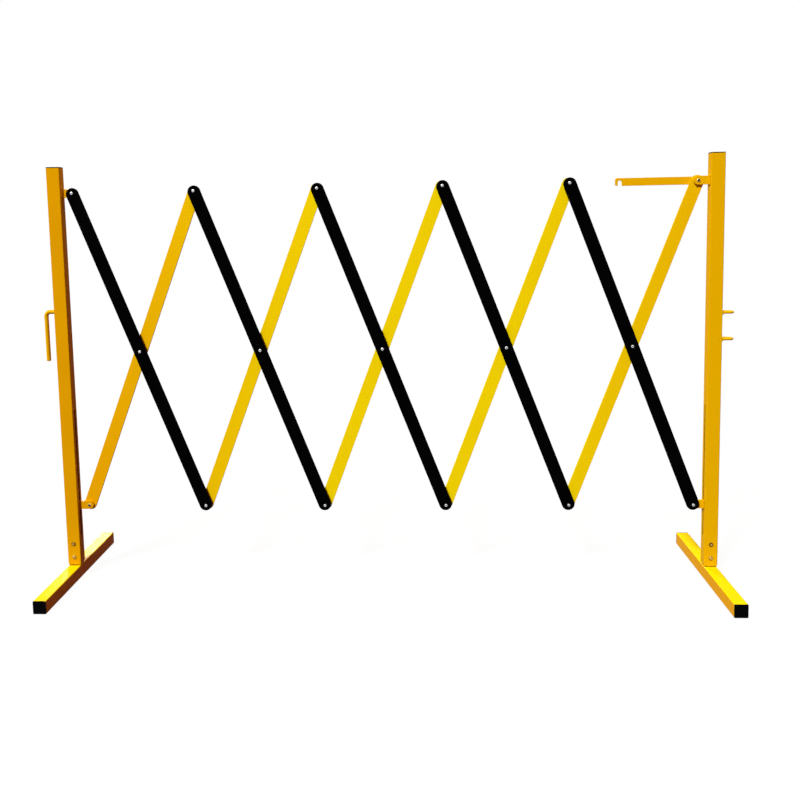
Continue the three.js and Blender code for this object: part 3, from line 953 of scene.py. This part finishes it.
def round_weld(node, face, outward, y, z, radius):
    """A bead round a rod that stands square on a post's face."""
    sink = BEAD_RADIUS * BEAD_SINK_SHARE
    size = radius + BEAD_RADIUS - sink
    limit = size_of("post_tube_left").y / 2 - BEAD_RADIUS
    ring = [(max(-limit, min(limit, across)), height) for across, height in circle((y, z), size)]
    path = [Vector((face + outward * (BEAD_RADIUS - sink), *point)) for point in ring]
    return weld_bead(path)


# Lattice.
def pivot_of(node):
    centre = centre_of(node)
    return Vector((centre.x, 0, centre.z))


def lattice_pivots():
    """The lattice's top and bottom pivots, from the left post to the right one."""
    inner = range(1, CROSSINGS)
    top = ["latch_stud", *(f"rivet_top_{i}" for i in inner), "latch_bolt"]
    bottom = ["rivet_bottom_left", *(f"rivet_bottom_{i}" for i in inner), "rivet_bottom_right"]
    return [pivot_of(node) for node in top], [pivot_of(node) for node in bottom]


def add_bar(node, top, bottom):
    low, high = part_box(node)
    half = (top - bottom).length / 2
    radius = BAR_WIDTH / 2
    end_centre = half - BAR_END_INSET
    outline = arc((0, end_centre), radius, 0, HALF_TURN)
    outline += arc((0, -end_centre), radius, HALF_TURN, WHOLE_TURN)
    holes = [circle((0, height), HOLE_RADIUS) for height in (half, 0, -half)]
    mesh = plate(outline, holes, low.y, high.y - low.y)
    mark_rims(mesh, PLATE_FLAT_AXES)
    lean = math.degrees(math.atan2(top.x - bottom.x, top.z - bottom.z))
    place = Matrix.Translation((top + bottom) / 2) @ turn_about("Y", lean)
    # Painted shade, darker and warmer towards the bar's outer end.
    mark_painted_shading_along(mesh, place)
    add_piece(node, mesh, place)


def head_profile(base, hollow_radius):
    """A head with the hollow left by a rivet's pin, or a socket, from the axis out to the shaft."""
    curve = dome(HEAD_RADIUS, HEAD_HEIGHT, HEAD_RIM, base, hollow_radius + HOLLOW_LIP)
    lip = curve[0][1]
    floor = lip + HOLLOW_DEPTH
    hollow = [(0, floor), (hollow_radius - HOLLOW_LIP, floor), (hollow_radius, lip + HOLLOW_LIP)]
    return [*hollow, *curve, (SHAFT, base)]


def tail_profile(base):
    """A rivet's set tail, from the shaft to the axis."""
    points = dome(TAIL_RADIUS, TAIL_HEIGHT, TAIL_RIM, 0)
    return [(SHAFT, base), *[(radius, base - depth) for radius, depth in reversed(points)]]


def spacer_profile(front, back):
    edge = SPACER_EDGE
    rim = SPACER_RADIUS
    near = [(SHAFT, front), (rim - edge, front), (rim, front + edge)]
    return [*near, (rim, back - edge), (rim - edge, back), (SHAFT, back)]


def mark_head(mesh, base, hollow_radius):
    """Marks the hollow of a head with painted shade and a little dirt, and its rim with a painted dark
    reflection.
    """
    top = base - 2 * HEAD_HEIGHT
    rim_share = SOCKET_RIM_REFLECTION_SHARE if hollow_radius == SOCKET_RADIUS else HEAD_RIM_REFLECTION_SHARE

    def share_at(point):
        on_rim = point.y < base and math.hypot(point.x, point.z) > HEAD_RADIUS - HEAD_RIM_REFLECTION_WIDTH
        return max(rim_share * on_rim, in_hollow(point, hollow_radius + HOLLOW_LIP / 2, top, base))

    mark_points(mesh, "hollow", share_at)


def rivet_mesh(front, back, spacer, hollow_radius):
    """A rivet through the given front and back faces, with a spacer between them where one is given."""
    head = front - SURFACE_GAP
    middle = spacer_profile(*spacer) if spacer else []
    mesh = turned([*head_profile(head, hollow_radius), *middle, *tail_profile(back + SURFACE_GAP)])
    mark_head(mesh, head, hollow_radius)
    return mesh


def add_rivet(node, front_node, back_node, has_spacer, hollow_radius=HOLLOW_RADIUS):
    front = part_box(front_node)[0].y
    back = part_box(back_node)[1].y
    bracket_low, bracket_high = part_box("top_bracket_left")
    spacer = (bracket_low.y, bracket_high.y) if has_spacer else None
    mesh = rivet_mesh(front, back, spacer, hollow_radius)
    if hollow_radius == SOCKET_RADIUS:
        mark_finish(mesh, SOCKET_YELLOW_SHARE, 0)
    add_piece(node, mesh, Matrix.Translation(pivot_of(node)))


def add_lattice():
    top, bottom = lattice_pivots()
    for i in range(1, CROSSINGS + 1):
        black, yellow = f"black_bar_{i}", f"yellow_bar_{i}"
        add_bar(black, top[i - 1], bottom[i])
        add_bar(yellow, top[i], bottom[i - 1])
        add_rivet(f"rivet_middle_{i}", black, yellow, True)
        if i < CROSSINGS:
            add_rivet(f"rivet_top_{i}", black, yellow, True)
            add_rivet(f"rivet_bottom_{i}", black, yellow, True)
    add_rivet("rivet_bottom_left", "slide_bracket_left", "yellow_bar_1", False, SOCKET_RADIUS)
    add_rivet("rivet_bottom_right", f"black_bar_{CROSSINGS}", "slide_bracket_right", False)


# Latch.
def latch_stud_mesh(end):
    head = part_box("black_bar_1")[0].y - SURFACE_GAP
    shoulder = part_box("top_bracket_left")[1].y + SURFACE_GAP
    stud = [
        (SHAFT, shoulder),
        (STUD_RADIUS - STUD_CHAMFER / 2, shoulder),
        (STUD_RADIUS, shoulder + STUD_CHAMFER / 2),
        (STUD_RADIUS, end - STUD_CHAMFER),
        (STUD_RADIUS - STUD_CHAMFER, end),
        (0, end),
    ]
    mesh = turned([*head_profile(head, HOLLOW_RADIUS), *stud])
    mark_head(mesh, head, HOLLOW_RADIUS)
    return mesh


def latch_bolt_mesh(thread_start, end):
    """The bolt at the right top pivot, with its thread ridges behind the nut's seat."""
    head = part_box("top_bracket_right")[0].y - SURFACE_GAP
    threads = []
    depth = thread_start
    while depth + THREAD_PITCH < end:
        threads.append((SHAFT, depth + THREAD_PITCH * THREAD_CREST_SHARE))
        threads.append((SHAFT - THREAD_DEPTH, depth + THREAD_PITCH * THREAD_ROOT_SHARE))
        depth += THREAD_PITCH
    mesh = turned([*head_profile(head, SOCKET_RADIUS), *threads, (SHAFT - THREAD_DEPTH, end), (0, end)])
    mark_head(mesh, head, SOCKET_RADIUS)
    mark_finish(mesh, SOCKET_YELLOW_SHARE, 0)
    return mesh


def washer_mesh(radius, low, high):
    edge = SPACER_EDGE
    profile = [(HOLE_RADIUS, low), (radius - edge, low), (radius, low + edge)]
    profile += [(radius, high - edge), (radius - edge, high), (HOLE_RADIUS, high)]
    turns = [math.tau * i / TURN_STEPS for i in range(TURN_STEPS)]
    rings = [[Vector((r * math.cos(t), depth, r * math.sin(t))) for t in turns] for r, depth in profile]
    return loft(rings, closed=True)


def nut_mesh(low, high):
    """A hexagon nut with its corners turned down."""
    corner = NUT_ACROSS / 2 / math.cos(math.pi / NUT_SIDES)
    hexagon = circle((0, 0), corner, NUT_SIDES)
    body = plate(hexagon, [circle((0, 0), HOLE_RADIUS)], low, high - low, NUT_EDGE)
    flat = NUT_ACROSS / 2
    profile = [(0, low), (flat, low), (corner, low + NUT_CHAMFER / 2)]
    profile += [(corner, high - NUT_CHAMFER / 2), (flat, high), (0, high)]
    return combined(body, "INTERSECT", turned(profile, 2 * TURN_STEPS))


def hook_mesh(low, high, pivot_x, stud_x):
    """The latch hook about its pivot, with its notch open downwards."""
    half = LATCH_HEIGHT / 2
    reach = pivot_x - stud_x
    tip = -(reach + NOTCH_RADIUS + LATCH_LIP)
    corner = LATCH_TIP_CORNER
    cut_turn = HALF_TURN + EIGHTH_TURN
    outline = arc((0, 0), half, -QUARTER_TURN, QUARTER_TURN)
    outline += arc((tip + corner, half - corner), corner, QUARTER_TURN, HALF_TURN, CORNER_STEPS)
    outline += arc((tip + corner, -half + corner), corner, HALF_TURN, cut_turn, CORNER_STEPS)
    outline.append((-reach - NOTCH_RADIUS, -half))
    outline += arc((-reach, NOTCH_RISE), NOTCH_RADIUS, HALF_TURN, 0)
    outline.append((-reach + NOTCH_RADIUS, -half))
    mesh = plate(outline, [circle((0, 0), HOLE_RADIUS)], low.y, high.y - low.y)
    mark_rims(mesh, PLATE_FLAT_AXES)
    # The hook takes most of the darker, warmer second shade: painted shade, as at the bar ends.
    mark_painted_shading(mesh, HOOK_SHARE)
    return mesh


def add_latch():
    left, right = pivot_of("latch_stud"), pivot_of("latch_bolt")
    at_left, at_right = Matrix.Translation(left), Matrix.Translation(right)
    hook_low, hook_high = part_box("latch_hook")
    nut_low, nut_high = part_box("latch_nut")
    spacer_low, spacer_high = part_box("latch_spacer")
    stud_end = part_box("latch_stud")[1].y
    bolt_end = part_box("latch_bolt")[1].y
    add_piece("latch_stud", latch_stud_mesh(stud_end), at_left)
    add_piece("latch_bolt", latch_bolt_mesh(nut_low.y, bolt_end), at_right)
    add_piece("latch_spacer", washer_mesh(SPACER_RADIUS, spacer_low.y, spacer_high.y), at_right)
    notch_x = hook_low.x + LATCH_LIP + NOTCH_RADIUS
    add_piece("latch_hook", hook_mesh(hook_low, hook_high, right.x, notch_x), at_right)
    add_piece("latch_nut", nut_mesh(nut_low.y, nut_high.y), at_right)


# Link pin and eyes.
def add_link_pin():
    low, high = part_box("link_pin")
    leg_x = low.x + PIN_RADIUS
    arm_end = leg_x + PIN_BEND
    bend = arc((arm_end, PIN_ARM_HEIGHT - PIN_BEND), PIN_BEND, QUARTER_TURN, HALF_TURN)
    path = [Vector((high.x, 0, PIN_ARM_HEIGHT)), *[Vector((x, 0, z)) for x, z in bend]]
    path += [Vector((leg_x, 0, low.z + PIN_TIP_CHAMFER)), Vector((leg_x, 0, low.z))]
    last = len(path) - 1

    def size(i):
        return PIN_RADIUS - PIN_TIP_CHAMFER if i == last else PIN_RADIUS

    mesh = rod(path, PIN_RADIUS, radius_at=size)
    # The link pin takes the second shade in full: painted lighter, as painted light.
    mark_painted_shading(mesh)
    add_piece("link_pin", mesh)
    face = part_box("post_tube_left")[0].x
    weld = round_weld("link_pin", face, -1, 0, PIN_ARM_HEIGHT, PIN_RADIUS)
    add_piece("link_pin", weld, name="link_pin_weld", replaced=False)


def add_link_eye(place):
    node = f"link_eye_{place}"
    low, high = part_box(node)
    z = (low.z + high.z) / 2
    radius = (high.y - low.y) / 2 - EYE_RADIUS
    centre_x = high.x - EYE_RADIUS - radius
    bend = arc((centre_x, 0), radius, -QUARTER_TURN, QUARTER_TURN)
    path = [Vector((low.x, -radius, z)), *[Vector((x, y, z)) for x, y in bend], Vector((low.x, radius, z))]
    mesh = rod(path, EYE_RADIUS)
    # The link eyes take the second shade in full: painted lighter, as painted light.
    mark_painted_shading(mesh)
    add_piece(node, mesh)
    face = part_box("post_tube_right")[1].x
    for end, y in (("front", -radius), ("back", radius)):
        weld = round_weld(node, face, 1, y, z, EYE_RADIUS)
        add_piece(node, weld, name=f"{node}_weld_{end}", replaced=False)


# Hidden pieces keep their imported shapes.
def dress_hidden():
    for side in INWARD:
        for node in (f"foot_stub_{side}", f"slider_{side}"):
            node_object = frame["nodes"][node]
            node_object.data.materials.clear()
            node_object.data.materials.append(materials[SLOT_OF_NODE[node]])


def build_barricade():
    for side in INWARD:
        add_foot(side)
        add_post(side)
        add_bracket("top", side)
        add_bracket("slide", side)
        bracket_weld(side)
    add_lattice()
    add_latch()
    add_link_pin()
    for place in ("upper", "lower"):
        add_link_eye(place)
    dress_hidden()


# Studio: the photo's camera, fitted to the barricade's corners and pivots.
IMAGE_SIZE = 800
FOCAL_PIXELS = 809.24
AXIS_PIXEL_X = 382.95
AXIS_PIXEL_Y = 296.73
SENSOR = 36.0
CAMERA_PLACE = Vector((0.0994, -1.8902, 0.8641))
CAMERA_YAW = math.radians(-2.905)
CAMERA_PITCH = math.radians(5.494)
CAMERA_ROLL = math.radians(-1.101)

# The world's light on the object, and the floor.
WHITE = (1, 1, 1, 1)
AMBIENT = 0.225
AMBIENT_TINT = (1.0, 0.21, 0.04)
FLOOR_SIZE = 14.0
FLOOR_DROP = 0.2 * MM
FLOOR_BOUNCE = (0.05, 0.018, 0.008)
FLOOR_ROUGHNESS = 0.9
FLOOR_WHITE_SHARE = 0.96


def add_camera():
    data = bpy.data.cameras.new("camera")
    data.sensor_fit = "HORIZONTAL"
    data.sensor_width = SENSOR
    data.lens = FOCAL_PIXELS / IMAGE_SIZE * SENSOR
    data.shift_x = (IMAGE_SIZE / 2 - AXIS_PIXEL_X) / IMAGE_SIZE
    data.shift_y = (AXIS_PIXEL_Y - IMAGE_SIZE / 2) / IMAGE_SIZE
    camera = bpy.data.objects.new("camera", data)
    bpy.context.scene.collection.objects.link(camera)
    flat = math.cos(CAMERA_PITCH)
    forward = Vector((math.sin(CAMERA_YAW) * flat, math.cos(CAMERA_YAW) * flat, -math.sin(CAMERA_PITCH)))
    right = Vector((math.cos(CAMERA_YAW), -math.sin(CAMERA_YAW), 0))
    up = right.cross(forward)
    across = math.cos(CAMERA_ROLL) * right + math.sin(CAMERA_ROLL) * up
    upward = -math.sin(CAMERA_ROLL) * right + math.cos(CAMERA_ROLL) * up
    turn = Matrix((across, upward, -forward)).transposed()
    camera.matrix_world = Matrix.Translation(CAMERA_PLACE) @ turn.to_4x4()
    bpy.context.scene.camera = camera


def seen_white(tree):
    """1 for the rays that show the background itself: seen straight, in a reflection or through glass."""
    path = tree.nodes.new("ShaderNodeLightPath")
    total = path.outputs["Is Camera Ray"]
    for name in ("Is Glossy Ray", "Is Transmission Ray"):
        node = tree.nodes.new("ShaderNodeMath")
        node.operation = "MAXIMUM"
        tree.links.new(total, node.inputs[0])
        tree.links.new(path.outputs[name], node.inputs[1])
        total = node.outputs["Value"]
    return total


def blend(tree, first, second):
    """A mix of two shaders: the node, whose share is left to set."""
    mix = tree.nodes.new("ShaderNodeMixShader")
    tree.links.new(first, mix.inputs[1])
    tree.links.new(second, mix.inputs[2])
    return mix


def add_world():
    """White to the eye, and a low even light on the object."""
    world = bpy.data.worlds.new("studio")
    bpy.context.scene.world = world
    world.use_nodes = True
    tree = world.node_tree
    ambient = tree.nodes["Background"]
    ambient.inputs["Color"].default_value = (*AMBIENT_TINT, 1)
    ambient.inputs["Strength"].default_value = AMBIENT
    white = tree.nodes.new("ShaderNodeBackground")
    white.inputs["Color"].default_value = WHITE
    white.inputs["Strength"].default_value = 1
    mix = blend(tree, ambient.outputs["Background"], white.outputs["Background"])
    tree.links.new(seen_white(tree), mix.inputs["Fac"])
    tree.links.new(mix.outputs["Shader"], tree.nodes["World Output"].inputs["Surface"])


def floor_material():
    """White to the eye but for a small share that takes the shadow, and dark to the light that it returns."""
    material = bpy.data.materials.new("floor")
    material.use_nodes = True
    tree = material.node_tree
    surface = tree.nodes["Principled BSDF"]
    surface.inputs["Base Color"].default_value = (*FLOOR_BOUNCE, 1)
    surface.inputs["Roughness"].default_value = FLOOR_ROUGHNESS
    surface.inputs["Specular IOR Level"].default_value = 0
    lit = tree.nodes.new("ShaderNodeBsdfDiffuse")
    lit.inputs["Color"].default_value = WHITE
    white = tree.nodes.new("ShaderNodeEmission")
    white.inputs["Strength"].default_value = 1
    seen = blend(tree, lit.outputs["BSDF"], white.outputs["Emission"])
    seen.inputs["Fac"].default_value = FLOOR_WHITE_SHARE
    mix = blend(tree, surface.outputs["BSDF"], seen.outputs["Shader"])
    tree.links.new(seen_white(tree), mix.inputs["Fac"])
    tree.links.new(mix.outputs["Shader"], tree.nodes["Material Output"].inputs["Surface"])
    return material


def add_floor():
    """A pale floor that is white to the eye and keeps the barricade's faint shadow."""
    half = FLOOR_SIZE / 2
    corners = [(sign_x * half, sign_y * half, -FLOOR_DROP) for sign_x, sign_y in CORNER_SIGNS]
    mesh = bpy.data.meshes.new("floor")
    mesh.from_pydata(corners, [], [tuple(range(len(corners)))])
    mesh.materials.append(floor_material())
    floor = bpy.data.objects.new("floor", mesh)
    bpy.context.scene.collection.objects.link(floor)


class Sun(NamedTuple):
    """A distant lamp: where its light comes from, its strength, how wide it looks and its colour."""

    direction: Vector
    strength: float
    width: float
    colour: tuple


SUNS = {
    "key": Sun(Vector((-0.34, -0.566, 0.75)), strength=4.5, width=math.radians(10), colour=(1.0, 1.0, 1.0)),
    "side": Sun(Vector((-0.95, -0.2, 0.2)), strength=0.62, width=math.radians(90), colour=(1.0, 0.76, 0.45)),
    "back": Sun(Vector((-0.33, 0.89, 0.31)), strength=2.0, width=math.radians(10), colour=(1.0, 0.97, 0.93)),
}

# The fill lamp hangs above the barricade, left of its middle.
FILL_PLACE = Vector((-0.40, -0.06, 1.42))
FILL_SIZE = 0.4
FILL_POWER = 1.5
FILL_COLOUR = (1.0, 0.74, 0.06)


def add_suns():
    """A key from above in front, a wide warm side light from the left and a light from behind."""
    for name, sun in SUNS.items():
        data = bpy.data.lights.new(name, "SUN")
        data.energy = sun.strength
        data.angle = sun.width
        data.color = sun.colour
        lamp = bpy.data.objects.new(name, data)
        bpy.context.scene.collection.objects.link(lamp)
        lamp.rotation_mode = "QUATERNION"
        lamp.rotation_quaternion = sun.direction.to_track_quat("Z", "Y")


def add_fill():
    """A weak warm lamp above the barricade."""
    data = bpy.data.lights.new("fill", "AREA")
    data.shape = "DISK"
    data.size = FILL_SIZE
    data.energy = FILL_POWER
    data.color = FILL_COLOUR
    lamp = bpy.data.objects.new("fill", data)
    lamp.location = FILL_PLACE
    lamp.visible_camera = False
    lamp.visible_glossy = False
    bpy.context.scene.collection.objects.link(lamp)


add_camera()
add_world()
add_floor()
add_suns()
add_fill()
build_barricade()
bpy.context.scene.view_settings.view_transform = "Standard"
bpy.context.view_layer.update()
